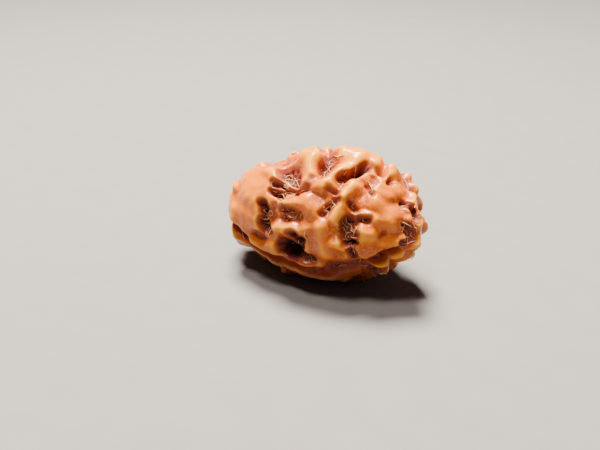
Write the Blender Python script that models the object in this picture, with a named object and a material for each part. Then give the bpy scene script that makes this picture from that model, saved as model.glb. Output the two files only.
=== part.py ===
"""A two-faced rudraksha seed, the dried stone of an Elaeocarpus fruit, lying on its side.

The stone grew as one piece, so it is one solid: a long spheroid whose skin carries rounded, waxy
ridges, steep-walled pits and the two seams that run from pole to pole between its faces.

Places on the skin are given as (along, around). Along is millimetres from the middle towards the
pole at +X. Around is degrees about the long axis: 0 on top, 90 in front (-Y), 180 underneath and
270, or -90, at the back. A hollow or a ridge is a short stroke from one place to another.
"""
import math
import random

import bmesh
import bpy
import numpy as np
from mathutils import Vector, noise

MM = 0.001

# Driving dimensions of the stone, in millimetres and degrees
LENGTH = 21.5
DIAMETER = 13.3
PITCH = 6.0
REST_LEVEL = 6.5
TRIANGLES = 11600

HALF_LENGTH = LENGTH / 2
HALF_WIDTH = DIAMETER / 2

# Skin quality: the dense ball that is shaped before it is thinned, and the unevenness of the skin
BALL_LEVELS = 7
SOFTENING_ROUNDS = 3
VALLEY_FLOOR = -0.5
WARP_SIZE = 1.5
WARP_REACH = 0.28
CRINKLE_SIZE = 0.65
CRINKLE_REACH = 0.14
BEND_SHIFTS = (0.0, 11.3, 23.9)
SWELL_SIZE = 2.6
SWELL_HEIGHT = 0.13
RIPPLE_SIZE = 1.1
RIPPLE_HEIGHT = 0.09
PIT_GRAIN_SIZE = 0.55
PIT_GRAIN_HEIGHT = 0.2

# How far a hollow's floor slides under its rim, for each millimetre of depth
UNDERCUT = 0.32

# The two seams: (along, around) from the pole at -X to the pole at +X
LOWER_SEAM = (
    (-10.4, 70), (-9.6, 84), (-8, 93), (-7, 98), (-5.7, 108), (-4, 115), (-1, 118), (0.4, 121),
    (1.8, 129), (3.5, 132), (5.5, 130), (7.4, 122), (9, 118), (9.9, 108), (10.4, 84),
)
UPPER_SEAM = (
    (-10.4, -50), (-9, -44), (-6, -38), (-3, -32), (0, -36), (3, -31), (5.5, -28), (7.3, -28),
    (8.6, -25), (9.2, -28), (9.8, -26), (10.3, 0), (10.45, 40),
)
SEAM_HALF_WIDTH = 0.42
SEAM_DEPTH = 0.5
SEAM_UNEVENNESS = 0.6
SEAM_LIP = 0.14

# Hollows in front, by eye: along, around, to along, to around, half-width, depth, and the way that
# the floor slides under the rim (along, around), where 1 is a full undercut
FRONT_HOLLOWS = (
    # upper left pit, its right part and the two grooves and the crack below it
    (-1.7, 30, -1.2, 34, 0.95, 1.05, (-0.2, -1)),
    (-0.4, 36, -0.1, 42, 0.5, 0.95, (0, -1)),
    (-2.4, 45, -1.4, 47, 0.36, 0.85, (0, -1)),
    (-2.4, 52, -1.3, 55, 0.36, 1, (0, -1)),
    (-1.2, 51, 0.3, 51, 0.26, 0.5, (0, -1)),
    (0.5, 49, 1.5, 46, 0.24, 0.4, (0, -1)),
    # small hollow beside the knob at the far end, and the notch on the upper left edge
    (-8.9, 50, -8.4, 51, 0.34, 0.5, (0, -1)),
    (-5, 2, -3.8, 6, 0.65, 0.4, (0, 0)),
    # slot on the left with two deep holes, and the dimple below it
    (-3.1, 66, -2.9, 71, 0.52, 1.15, (-1, -0.6)),
    (-3, 80, -2.7, 88, 0.52, 1.3, (-0.8, -0.4)),
    (-2.9, 72, -2.9, 79, 0.45, 0.75, (-0.6, -0.4)),
    (-1.9, 68, -1.8, 80, 0.55, 0.25, (0, 0)),
    (-4.4, 96, -3.5, 98, 0.6, 0.32, (0, 0)),
    # ring-shaped pit
    (-0.6, 66, 0.2, 67, 0.52, 0.55, (-0.4, -1)),
    (-0.4, 74, 1, 73, 0.5, 0.45, (0, -0.6)),
    # the largest pit, its upper lobe and its tail
    (-0.6, 102, 0.2, 106, 0.95, 1.75, (-0.3, -1)),
    (0.6, 95, 0.9, 98, 0.5, 1.1, (0, -0.6)),
    (0.7, 88, 1.1, 91, 0.62, 1.4, (0, -1)),
    (1, 107, 2.1, 112, 0.42, 0.9, (0, -0.6)),
    (2.6, 81, 2.9, 83, 0.5, 0.2, (0, 0)),
    # slanting pit near the middle of the top
    (1.8, -15, 1.6, -7, 0.5, 0.6, (-0.6, -0.6)),
    (2.1, 7, 2.2, 16, 0.6, 0.65, (-0.4, -0.6)),
    (2.2, 19, 2.3, 26, 0.5, 0.7, (-0.6, -0.6)),
    (1.5, 39, 1.5, 44, 0.6, 0.3, (0, 0)),
    # dark slot under the bright ridge
    (4.3, 30, 5, 23, 0.4, 0.8, (-0.4, -1)),
    (5.2, 17, 5.8, 8, 0.48, 1.25, (-0.8, -0.8)),
    # small pits in the middle
    (3.6, 43, 4.5, 45, 0.4, 0.4, (0, -1)),
    (4.6, 51, 4.1, 57, 0.42, 0.5, (0, -0.4)),
    (3.9, 59, 3.4, 66, 0.45, 0.6, (-0.6, -0.4)),
    (5.9, 51, 6.4, 56, 0.45, 0.45, (0, -0.6)),
    # dimples, crack and small round hole on the right
    (6.8, 16, 7, 19, 0.42, 0.35, (0, 0)),
    (6.6, 4, 6.8, 6, 0.42, 0.28, (0, 0)),
    (6.7, 27, 7.3, 36, 0.32, 0.55, (0, -0.6)),
    (8, 5, 8.1, 9, 0.32, 0.6, (0, -0.4)),
    (8.7, 85, 8.8, 87, 0.38, 0.22, (0, 0)),
    # large fibrous pit on the right, with its holes, its right arm and its tail
    (5.7, 70, 5.8, 87, 0.65, 0.65, (-0.8, -0.4)),
    (6.2, 70, 6.3, 84, 0.65, 0.6, (0, -0.6)),
    (6.7, 66, 7.4, 66, 0.42, 0.6, (0, -1)),
    (5.8, 67, 5.8, 69, 0.4, 0.85, (-0.5, -0.5)),
    (6.2, 78, 6.2, 81, 0.36, 0.9, (0, -0.5)),
    (5.6, 93, 6.5, 93, 0.36, 1, (0, -0.5)),
    (6, 101, 6.2, 114, 0.36, 0.8, (0, 0)),
    # hollow underside between the faces
    (3.9, 128, 6.3, 128, 1.15, 0.7, (0, -0.5)),
    # rough pit beside the pole, the small pit under it and the groove above it
    (10.2, 66, 10.3, 86, 0.58, 0.65, (-0.4, -0.4)),
    (9.8, 100, 9.8, 104, 0.4, 0.75, (0, -0.4)),
    (9.7, 24, 10.5, 22, 0.38, 0.8, (-0.6, 0)),
)

# Ridges, lobes and knobs in front: along, around, to along, to around, half-width, height
FRONT_RIDGES = (
    # the smooth lobe at the far end, its knob, and the rim behind the lower seam
    (-6, 47, -4.2, 57, 2.7, 0.66),
    (-7, 28, -4.6, 28, 1.8, 0.45),
    (-7, 77, -4.3, 83, 2.0, 0.55),
    (-8, 46, -7.8, 49, 0.9, 0.74),
    (-8.3, 61, -7.6, 83, 1.5, 0.62),
    (-3.6, 33, -2.2, 39, 1.1, 0.66),
    (-7.4, 114, -5.2, 127, 1.8, 0.85),
    (-6.4, 124, -2.2, 127, 1.2, 0.6),
    (-0.7, 128, 2.9, 139, 1.1, 0.6),
    (-4.7, 104, -2.1, 106, 0.95, 0.5),
    (-10.4, 60, -10.5, 100, 0.8, 0.4),
    (-10.2, 20, -10, 34, 0.8, 0.4),
    (-10, 112, -9.8, 126, 0.8, 0.45),
    # along the top, from left to right
    (-3.1, -1, -2.2, -1, 0.85, 0.55),
    (-0.3, 12, 0.7, 16, 1.5, 1.05),
    (0.6, 15, 1.3, 39, 0.95, 0.68),
    (0.5, -12, 0.7, -6, 0.7, 0.5),
    (3.2, 1, 4.7, -1, 1.5, 1.0),
    (4.4, 10, 3.9, 26, 1.1, 0.72),
    (4, 23, 3.3, 39, 0.9, 0.7),
    (5.7, -8, 6.1, 2, 1.0, 0.78),
    (6.1, 3, 6.3, 15, 0.9, 0.5),
    (7.4, -7, 7.7, -3, 1.0, 0.75),
    (7.6, -40, 7.9, -38, 0.9, 0.8),
    (8.8, -44, 9, -40, 0.85, 0.6),
    # across the middle
    (2.1, 41, 3.8, 41, 0.75, 0.6),
    (-0.7, 62, 1.2, 60, 0.8, 0.42),
    (1.7, 57, 2.7, 66, 1.2, 0.45),
    (-1.2, 84, 1, 84, 0.9, 0.66),
    (1.9, 79, 3.2, 82, 0.75, 0.5),
    (3.4, 79, 3.7, 104, 1.1, 0.55),
    (5.6, 33, 5.1, 47, 0.95, 0.7),
    (5.2, 48, 4.6, 70, 0.85, 0.5),
    (0, 73, 0.2, 73, 0.36, 0.5),
    (4.7, 93, 5.6, 96, 0.9, 0.66),
    (-0.3, 111, 2.7, 116, 0.8, 0.52),
    # on the right
    (6.7, 63, 7.9, 64, 0.75, 0.55),
    (6.9, 82, 7.8, 84, 1.25, 0.74),
    (7.3, 16, 8.8, 8, 1.2, 0.55),
    (7.5, 30, 8.5, 28, 1.0, 0.5),
    (7.9, 46, 9.1, 54, 1.3, 0.58),
    (8.2, 66, 9, 68, 1.2, 0.52),
    (8.8, 94, 9.3, 98, 0.9, 0.55),
    (9.7, -6, 10, 22, 0.8, 0.62),
    (10.5, 14, 10.6, 34, 0.9, 0.45),
    (9.7, 99, 10.1, 107, 0.8, 0.6),
    (10.3, 57, 10.4, 117, 0.6, 0.5),
    (8.1, 130, 8.3, 133, 0.75, 0.65),
    (7.1, 149, 7.5, 152, 0.85, 1.35),
    (9.3, 133, 9.4, 135, 0.8, 0.5),
)

# The pads underneath that the stone rests on, later cut flat: one right under its weight and three
# round it, and how far from them the skin stays even
REST_PADS = (
    (-1.3, 180, 0.2, 180, 1.5, 0.55),
    (-3.2, 162, -2.6, 160, 1.3, 0.95),
    (-3.2, 198, -2.6, 200, 1.3, 0.95),
    (3.0, 178, 3.7, 181, 1.5, 1.3),
)
EVEN_SKIN = (0.9, 2.2)

# Broad trims of the spheroid, where the stone is fuller or leaner than one
BROAD_FORMS = (
    (-6.4, -10, -3.6, 4, 3.8, -0.9),
    (8.0, -34, 9.0, -30, 3.4, 0.15),
    (3.0, -4, 5.6, -11, 2.4, 0.4),
    (7.1, -13, 7.7, -17, 1.8, 0.5),
    (-4.6, -22, -3.0, -18, 2.2, -0.1),
    (-7.0, 112, -5.5, 124, 3.4, 0.2),
    (-5.7, 128, -4.7, 134, 2.3, -1.0),
    (0.7, 146, 1.6, 149, 1.6, -0.75),
    (4.8, 156, 4.9, 166, 1.5, 0.4),
    (10.4, 60, 10.4, 120, 2.8, 0.55),
    (10.4, 116, 10.6, 126, 1.6, 0.4),
)

# Rule for the skin that was not drawn by eye: the back, the underside and the far end
SCATTER_SEED = 11
DRAWN_ALONG = (-10.75, 10.75)
DRAWN_TOP_EDGE = ((-1, -10), (2, -34))
DRAWN_LOWER_EDGE = 118
SCATTER_TRIES = 1400
HOLLOW_SPACING = 2.5
RIDGE_SPACING = 1.75
SEAM_CLEARANCE = 1.25
REST_CLEARANCE = 3.1
REST_PLACE = (0.1, 180)
RIM_GAP = 0.9


def skin_point(along, around):
    """The spheroid's point at one place, in the stone's own frame."""
    turn = math.radians(around)
    reach = HALF_WIDTH * math.sqrt(max(0.0, 1 - (along / HALF_LENGTH) ** 2))
    return np.array((along, -reach * math.sin(turn), reach * math.cos(turn)))


def smooth_step(low, high, values):
    """0 below low, 1 above high, and an even rise between them."""
    part = np.clip((values - low) / (high - low), 0.0, 1.0)
    return part * part * (3 - 2 * part)


def stroke_distance(points, start, end):
    """Distance of each point to the straight stroke from start to end."""
    run = end - start
    length_squared = max(run @ run, 1e-9)
    part = np.clip((points - start) @ run / length_squared, 0.0, 1.0)
    return np.linalg.norm(points - start - part[:, None] * run, axis=1)


def path_distance(points, places):
    """Distance of each point to a path through the places given."""
    marks = [skin_point(along, around) for along, around in places]
    nearest = np.full(len(points), np.inf)
    for start, end in zip(marks, marks[1:]):
        nearest = np.minimum(nearest, stroke_distance(points, start, end))
    return nearest


def noise_values(points, size, shift=0.0):
    """Smooth noise with waves about as long as size."""
    offset = Vector((shift, 2 * shift, -shift))
    return np.array([noise.noise(Vector(point) / size + offset) for point in points])


def noise_vectors(points, size):
    """Smooth noise as vectors, used to bend straight strokes."""
    return np.stack([noise_values(points, size, shift) for shift in BEND_SHIFTS], axis=1)


def in_drawn_skin(along, around):
    """Whether a place lies where the hollows were placed by eye."""
    turned = (around + 180) % 360 - 180
    top_edge = np.interp(along, *zip(*DRAWN_TOP_EDGE))
    return DRAWN_ALONG[0] < along < DRAWN_ALONG[1] and top_edge < turned < DRAWN_LOWER_EDGE


def random_place(draw):
    """A place drawn evenly over the spheroid's skin."""
    height = draw.uniform(-1, 1)
    return height * HALF_LENGTH * 0.985, draw.uniform(-180, 180)


def spread_places(draw, spacing, others, clearance):
    """Places off the drawn skin, apart from each other, the seams, the rest spot and others."""
    chosen = []
    taken = []
    for _ in range(SCATTER_TRIES):
        along, around = random_place(draw)
        if in_drawn_skin(along, around):
            continue
        point = skin_point(along, around)
        spot = point[None, :]
        seam_gap = min(path_distance(spot, LOWER_SEAM)[0], path_distance(spot, UPPER_SEAM)[0])
        if seam_gap < SEAM_CLEARANCE or np.linalg.norm(point - skin_point(*REST_PLACE)) < REST_CLEARANCE:
            continue
        if any(np.linalg.norm(point - mark) < spacing for mark in taken):
            continue
        if any(np.linalg.norm(point - mark) < clearance for mark in others):
            continue
        taken.append(point)
        chosen.append((along, around))
    return chosen


def stroke_end(draw, along, around, longest):
    """The far end of a short stroke that leaves a place in a drawn direction."""
    heading = draw.uniform(0, math.tau)
    length = draw.uniform(0.1, longest)
    reach = max(1.5, HALF_WIDTH * math.sqrt(max(0.05, 1 - (along / HALF_LENGTH) ** 2)))
    to_along = max(-HALF_LENGTH * 0.99, min(HALF_LENGTH * 0.99, along + length * math.cos(heading)))
    return to_along, around + math.degrees(length * math.sin(heading) / reach)


def scattered_relief():
    """Hollows and ridges for the skin that was not drawn by eye."""
    draw = random.Random(SCATTER_SEED)
    drawn = [skin_point(mark[0], mark[1]) for mark in FRONT_HOLLOWS]
    hollows = []
    for along, around in spread_places(draw, HOLLOW_SPACING, drawn, HOLLOW_SPACING):
        half_width = draw.uniform(0.42, 0.75)
        depth = draw.uniform(0.6, 1.15) * min(1.0, half_width / 0.6)
        slide = (draw.uniform(-0.7, 0.7), draw.uniform(-0.7, 0.7))
        for longest in (2.2, 1.3):
            to_along, to_around = stroke_end(draw, along, around, longest)
            hollows.append((along, around, to_along, to_around, half_width, depth, slide))
    pits = drawn + [skin_point(mark[0], mark[1]) for mark in hollows]
    ridges = []
    for along, around in spread_places(draw, RIDGE_SPACING, pits, RIM_GAP + 0.5):
        to_along, to_around = stroke_end(draw, along, around, 2.4)
        ridges.append((along, around, to_along, to_around, draw.uniform(0.8, 1.25), draw.uniform(0.5, 0.85)))
    return hollows, ridges


def skin_frame(points):
    """Outward normal and the two directions on the skin, along and around, at each point."""
    normal = points / np.array((HALF_LENGTH ** 2, HALF_WIDTH ** 2, HALF_WIDTH ** 2))
    normal /= np.linalg.norm(normal, axis=1)[:, None]
    around = np.cross(normal, np.array((1.0, 0.0, 0.0)))
    around /= np.maximum(np.linalg.norm(around, axis=1), 1e-6)[:, None]
    along = np.cross(around, normal)
    return normal, along, around


def ridge_height(points, ridges):
    """Height of the rounded ridges, each melting into its neighbours."""
    total = np.zeros(len(points))
    for along, around, to_along, to_around, half_width, height in ridges:
        gap = stroke_distance(points, skin_point(along, around), skin_point(to_along, to_around))
        total += (height * (1 - smooth_step(0.1, 1.3, gap / half_width))) ** 2.5
    return total ** (1 / 2.5)


def hollow_depth(points, hollows):
    """Depth of the hollows and the way in which their floors slide under the rims."""
    total = np.zeros(len(points))
    slide = np.zeros((len(points), 2))
    for along, around, to_along, to_around, half_width, depth, way in hollows:
        gap = stroke_distance(points, skin_point(along, around), skin_point(to_along, to_around))
        deep = depth * (1 - smooth_step(0.1, 1.4, gap / half_width))
        total += deep ** 4
        slide += deep[:, None] ** 2 * np.array(way)
    total **= 0.25
    return total, slide / np.maximum(total, 1e-6)[:, None] ** 2


def relief(points):
    """Every point of the spheroid moved to its place on the stone's skin."""
    more_hollows, more_ridges = scattered_relief()
    hollows = list(FRONT_HOLLOWS) + more_hollows
    ridges = list(FRONT_RIDGES) + more_ridges + list(REST_PADS)
    bent = points + WARP_REACH * noise_vectors(points, WARP_SIZE)
    crinkled = bent + CRINKLE_REACH * noise_vectors(points, CRINKLE_SIZE)
    normal, along, around = skin_frame(points)

    height = SWELL_HEIGHT * noise_values(points, SWELL_SIZE, 3.1)
    height += RIPPLE_HEIGHT * noise_values(points, RIPPLE_SIZE, 7.7)
    for start_along, start_around, to_along, to_around, *_ in REST_PADS:
        gap = stroke_distance(points, skin_point(start_along, start_around), skin_point(to_along, to_around))
        height *= smooth_step(*EVEN_SKIN, gap)
    height += VALLEY_FLOOR + ridge_height(bent, ridges)
    for start_along, start_around, to_along, to_around, reach, rise in BROAD_FORMS:
        gap = stroke_distance(points, skin_point(start_along, start_around), skin_point(to_along, to_around))
        height += rise * (1 - smooth_step(0.0, 1.0, gap / reach))

    depth, slide = hollow_depth(crinkled, hollows)
    seam_depth = SEAM_DEPTH * (1 + SEAM_UNEVENNESS * noise_values(points, SWELL_SIZE, 5.9))
    for seam in (LOWER_SEAM, UPPER_SEAM):
        gap = path_distance(bent, seam) / SEAM_HALF_WIDTH
        depth = np.maximum(depth, seam_depth * (1 - smooth_step(0.2, 1.3, gap)))
        height += SEAM_LIP * smooth_step(0.6, 1.6, gap) * (1 - smooth_step(1.6, 3.4, gap))
    floor = smooth_step(0.15, 0.7, depth)
    depth += floor * PIT_GRAIN_HEIGHT * noise_values(points, PIT_GRAIN_SIZE, 1.3)

    moved = points + normal * (height - depth)[:, None]
    moved += UNDERCUT * depth[:, None] * (along * slide[:, :1] + around * slide[:, 1:])
    return moved


def pitched(points):
    """The stone's own frame turned to the world: the +X pole is a little raised."""
    turn = math.radians(PITCH)
    turned = points.copy()
    turned[:, 0] = points[:, 0] * math.cos(turn) - points[:, 2] * math.sin(turn)
    turned[:, 2] = points[:, 0] * math.sin(turn) + points[:, 2] * math.cos(turn)
    return turned


def add_stone():
    """The stone as one dense closed skin, thinned where it is smooth."""
    mesh = bpy.data.meshes.new("rudraksha_stone")
    ball = bmesh.new()
    bmesh.ops.create_icosphere(ball, subdivisions=BALL_LEVELS, radius=1.0)
    ball.to_mesh(mesh)
    ball.free()
    unit = np.array([vertex.co for vertex in mesh.vertices])
    unit /= np.linalg.norm(unit, axis=1)[:, None]
    skin = pitched(relief(unit * np.array((HALF_LENGTH, HALF_WIDTH, HALF_WIDTH))))
    mesh.vertices.foreach_set("co", (skin * MM).astype(np.float32).ravel())
    mesh.update()

    stone = bpy.data.objects.new("rudraksha_stone", mesh)
    bpy.context.collection.objects.link(stone)
    bpy.context.view_layer.objects.active = stone
    stone.select_set(True)
    soften = stone.modifiers.new("soften", "SMOOTH")
    soften.iterations = SOFTENING_ROUNDS
    bpy.ops.object.modifier_apply(modifier=soften.name)
    thin = stone.modifiers.new("thin", "DECIMATE")
    thin.ratio = TRIANGLES / len(mesh.polygons)
    bpy.ops.object.modifier_apply(modifier=thin.name)
    return stone


def cut_rest_spot(stone):
    """Cuts the small flat spots that the stone rests on and puts the origin under its middle."""
    cut = bmesh.new()
    cut.from_mesh(stone.data)
    level = -REST_LEVEL * MM
    everything = cut.verts[:] + cut.edges[:] + cut.faces[:]
    bmesh.ops.bisect_plane(
        cut, geom=everything, dist=1e-6, plane_co=(0, 0, level), plane_no=(0, 0, -1), clear_outer=True)
    bmesh.ops.holes_fill(cut, edges=[edge for edge in cut.edges if edge.is_boundary], sides=0)
    bmesh.ops.triangulate(cut, faces=cut.faces[:])
    middle_x = (min(v.co.x for v in cut.verts) + max(v.co.x for v in cut.verts)) / 2
    middle_y = (min(v.co.y for v in cut.verts) + max(v.co.y for v in cut.verts)) / 2
    bmesh.ops.translate(cut, vec=Vector((-middle_x, -middle_y, -level)), verts=cut.verts[:])
    bmesh.ops.recalc_face_normals(cut, faces=cut.faces[:])
    cut.to_mesh(stone.data)
    cut.free()


def stone_material():
    """Oiled woody endocarp: orange brown, with a soft waxy gloss."""
    material = bpy.data.materials.new("oiled_endocarp")
    material.use_nodes = True
    surface = material.node_tree.nodes["Principled BSDF"]
    surface.inputs["Base Color"].default_value = (0.52, 0.19, 0.075, 1.0)
    surface.inputs["Roughness"].default_value = 0.42
    surface.inputs["Metallic"].default_value = 0.0
    return material


def build():
    """Clears the scene and models the stone."""
    for existing in list(bpy.data.objects):
        bpy.data.objects.remove(existing, do_unlink=True)
    stone = add_stone()
    cut_rest_spot(stone)
    stone.data.materials.append(stone_material())
    stone.data.shade_smooth()


build()
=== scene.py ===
# %% [markdown]
# # A rudraksha seed
# A rudraksha is the dried stone of a blue, plum-like fruit. The pulp is washed off and the stone
# is oiled, so its ridges turn glossy orange brown, while dried pulp stays in the pits as a web of
# pale fibres and dark crumbs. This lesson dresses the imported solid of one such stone.
#
# The solid has about 12,000 large facets. It is loaded first, and everything here is made in its
# frame: metres, +Z up, the stone lying along X on its small flat spot at z = 0.

import math
import random

import bmesh
import bpy
import numpy as np
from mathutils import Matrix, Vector, noise
from mathutils.kdtree import KDTree


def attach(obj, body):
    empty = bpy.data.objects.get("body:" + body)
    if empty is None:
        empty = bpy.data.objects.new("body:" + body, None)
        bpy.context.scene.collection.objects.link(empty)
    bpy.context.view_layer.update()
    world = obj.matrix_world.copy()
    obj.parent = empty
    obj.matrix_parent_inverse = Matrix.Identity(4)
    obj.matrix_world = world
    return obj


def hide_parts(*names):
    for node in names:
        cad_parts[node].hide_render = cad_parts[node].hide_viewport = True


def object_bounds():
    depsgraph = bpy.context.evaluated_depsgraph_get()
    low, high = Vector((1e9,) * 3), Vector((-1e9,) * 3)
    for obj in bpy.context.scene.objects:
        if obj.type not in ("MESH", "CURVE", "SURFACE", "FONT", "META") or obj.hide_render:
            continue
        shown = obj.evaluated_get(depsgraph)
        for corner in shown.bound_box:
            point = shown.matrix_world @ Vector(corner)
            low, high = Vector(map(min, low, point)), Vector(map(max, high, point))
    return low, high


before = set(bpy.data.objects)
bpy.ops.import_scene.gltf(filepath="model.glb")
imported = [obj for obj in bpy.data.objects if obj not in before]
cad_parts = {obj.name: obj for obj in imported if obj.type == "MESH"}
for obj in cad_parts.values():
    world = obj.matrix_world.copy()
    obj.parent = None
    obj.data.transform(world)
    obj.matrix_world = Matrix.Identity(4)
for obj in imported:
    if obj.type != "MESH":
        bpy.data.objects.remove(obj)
cad_low, cad_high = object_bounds()
MM = 0.001
print("the solid is", [round(side / MM, 2) for side in cad_high - cad_low], "mm")

# %% [markdown]
# ## The camera
# The photograph looks down on the stone from a little above, with the stone's +X end turned
# towards us. A photographer's way to set this up is to choose the angle first, then the distance
# and the lens. The picture is 600 pixels wide and the stone sits right of its middle and a little
# above it, so the camera aims at a point to the left of the stone and under it.

# %% Set up the camera
PICTURE_WIDTH = 600
PICTURE_HEIGHT = 450
MM_PER_PIXEL = 0.1
STONE_PIXEL = (322.3, 212.0)
STONE_CENTRE = (-0.421, 0.073, 6.5)
VIEW_AZIMUTH = 30
VIEW_ELEVATION = 25
LENS = 48
SENSOR = 36


def direction(azimuth, elevation):
    """Unit vector from the stone to a viewer at that azimuth and elevation, in degrees."""
    turn, rise = math.radians(azimuth), math.radians(elevation)
    level = math.cos(rise)
    return Vector((math.sin(turn) * level, -math.cos(turn) * level, math.sin(rise)))


stone_middle = Vector(STONE_CENTRE) * MM
toward = direction(VIEW_AZIMUTH, VIEW_ELEVATION)
camera_right = direction(VIEW_AZIMUTH + 90, 0)
camera_up = toward.cross(camera_right)
camera_distance = MM_PER_PIXEL * MM * PICTURE_WIDTH * LENS / SENSOR
aim = stone_middle - camera_right * (STONE_PIXEL[0] - PICTURE_WIDTH / 2) * MM_PER_PIXEL * MM
aim -= camera_up * (PICTURE_HEIGHT / 2 - STONE_PIXEL[1]) * MM_PER_PIXEL * MM

bpy.ops.object.camera_add(location=stone_middle + toward * camera_distance)
camera = bpy.context.object
camera.name = "camera"
camera.data.lens = LENS
camera.data.sensor_width = SENSOR
camera.data.clip_start = 1 * MM
camera.data.clip_end = 10
camera.rotation_euler = (aim - camera.location).to_track_quat("-Z", "Y").to_euler()
bpy.context.scene.camera = camera
print("the camera is", round(camera_distance / MM, 1), "mm from the stone")

# %% [markdown]
# ## Floor and light
# Macro pictures of small things are lit softly: a large lamp overhead, a little behind and to the
# left, gives the long pale glints along the tops of the ridges and leaves the near side of each
# pit dark. A softer lamp over the front shows the near ridges, and a weak, wide fill keeps the
# shaded side readable.

# %% Make the floor and the lamps
FLOOR_HALF = 1.5


def linear(hex_colour):
    """The linear colour of an sRGB hex colour, with an alpha of 1."""
    parts = [int(hex_colour[i:i + 2], 16) / 255 for i in (1, 3, 5)]
    return [c / 12.92 if c <= 0.04045 else ((c + 0.055) / 1.055) ** 2.4 for c in parts] + [1.0]


def add_node(tree, kind, inputs=(), **settings):
    """Adds a node, sets its properties, and sets or links its inputs by name or number."""
    node = tree.nodes.new(kind)
    for name, value in settings.items():
        setattr(node, name, value)
    for key, value in dict(inputs).items():
        if isinstance(value, bpy.types.NodeSocket):
            tree.links.new(value, node.inputs[key])
        else:
            node.inputs[key].default_value = value
    return node


def new_material(name):
    """An empty material with its output node."""
    material = bpy.data.materials.new(name)
    material.use_nodes = True
    material.node_tree.nodes.clear()
    return material, material.node_tree


def paper_backdrop():
    """Matt pale paper: it gives the eye an even, quiet ground and a soft shadow."""
    material, tree = new_material("matt_paper")
    mottle = add_node(tree, "ShaderNodeTexNoise", {"Scale": 900.0, "Detail": 3.0})
    tone = add_node(tree, "ShaderNodeMix", {
        0: mottle.outputs["Fac"], "A": linear("#7C7B7A"), "B": linear("#838281")}, data_type="RGBA")
    shader = add_node(tree, "ShaderNodeBsdfPrincipled", {
        "Base Color": tone.outputs["Result"], "Roughness": 0.85, "Specular IOR Level": 0.2})
    add_node(tree, "ShaderNodeOutputMaterial", {"Surface": shader.outputs["BSDF"]})
    return material


def add_lamp(name, azimuth, elevation, distance, size, power, colour):
    """A square soft lamp that shines at the stone."""
    place = stone_middle + direction(azimuth, elevation) * distance
    bpy.ops.object.light_add(type="AREA", location=place)
    lamp = bpy.context.object
    lamp.name = name
    lamp.data.size = size
    lamp.data.energy = power
    lamp.data.color = linear(colour)[:3]
    lamp.rotation_euler = (stone_middle - place).to_track_quat("-Z", "Y").to_euler()
    return lamp


bpy.ops.object.select_all(action="DESELECT")
bpy.ops.mesh.primitive_plane_add(size=2 * FLOOR_HALF)
floor = bpy.context.object
floor.name = "paper_floor"
floor.data.materials.append(paper_backdrop())

# Name, azimuth, elevation, distance, size, power in watts, colour
add_lamp("softbox_overhead", -128, 72, 0.26, 0.09, 5.0, "#FFF2E2")
add_lamp("softbox_front", -10, 72, 0.36, 0.07, 1.1, "#FFF4E8")
add_lamp("fill_front", 60, 30, 0.60, 0.40, 0.08, "#F2F5FF")

ROOM_LIGHT = 0.07
world = bpy.data.worlds.new("soft_room")
world.use_nodes = True
world.node_tree.nodes["Background"].inputs["Color"].default_value = linear("#E6E9EE")
world.node_tree.nodes["Background"].inputs["Strength"].default_value = ROOM_LIGHT
bpy.context.scene.world = world

# %% [markdown]
# ## Places on the stone
# The stone is a long spheroid, so a place on it needs two numbers: how far along it is, in
# millimetres from the middle, and how far around, in degrees from the top over the front. Every
# ridge and every pit is a short stroke from one place to another, with a width and a height. They
# were placed one by one, as a sculptor lays rolls of clay and presses a tool between them. They are
# the strokes that the solid was made from, so the fine skin keeps the solid's form.

# %% The stone's measures and its seams
# Driving dimensions of the stone, in millimetres and degrees
LENGTH = 21.5
DIAMETER = 13.3
PITCH = 6.0
REST_LEVEL = 6.5

HALF_LENGTH = LENGTH / 2
HALF_WIDTH = DIAMETER / 2

# The unevenness of the skin
VALLEY_FLOOR = -0.5
WARP_SIZE = 1.5
WARP_REACH = 0.28
CRINKLE_SIZE = 0.65
CRINKLE_REACH = 0.14
BEND_SHIFTS = (0.0, 11.3, 23.9)
SWELL_SIZE = 2.6
SWELL_HEIGHT = 0.13
RIPPLE_SIZE = 1.1
RIPPLE_HEIGHT = 0.09
PIT_GRAIN_SIZE = 0.55
PIT_GRAIN_HEIGHT = 0.2

# How far a hollow's floor slides under its rim, for each millimetre of depth
UNDERCUT = 0.32

# The two seams: (along, around) from the pole at -X to the pole at +X
LOWER_SEAM = (
    (-10.4, 70), (-9.6, 84), (-8, 93), (-7, 98), (-5.7, 108), (-4, 115), (-1, 118), (0.4, 121),
    (1.8, 129), (3.5, 132), (5.5, 130), (7.4, 122), (9, 118), (9.9, 108), (10.4, 84),
)
UPPER_SEAM = (
    (-10.4, -50), (-9, -44), (-6, -38), (-3, -32), (0, -36), (3, -31), (5.5, -28), (7.3, -28),
    (8.6, -25), (9.2, -28), (9.8, -26), (10.3, 0), (10.45, 40),
)
SEAM_HALF_WIDTH = 0.42
SEAM_DEPTH = 0.5
SEAM_UNEVENNESS = 0.6
SEAM_LIP = 0.14
print("the stone is", LENGTH, "by", DIAMETER, "mm under its ridges")
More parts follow.
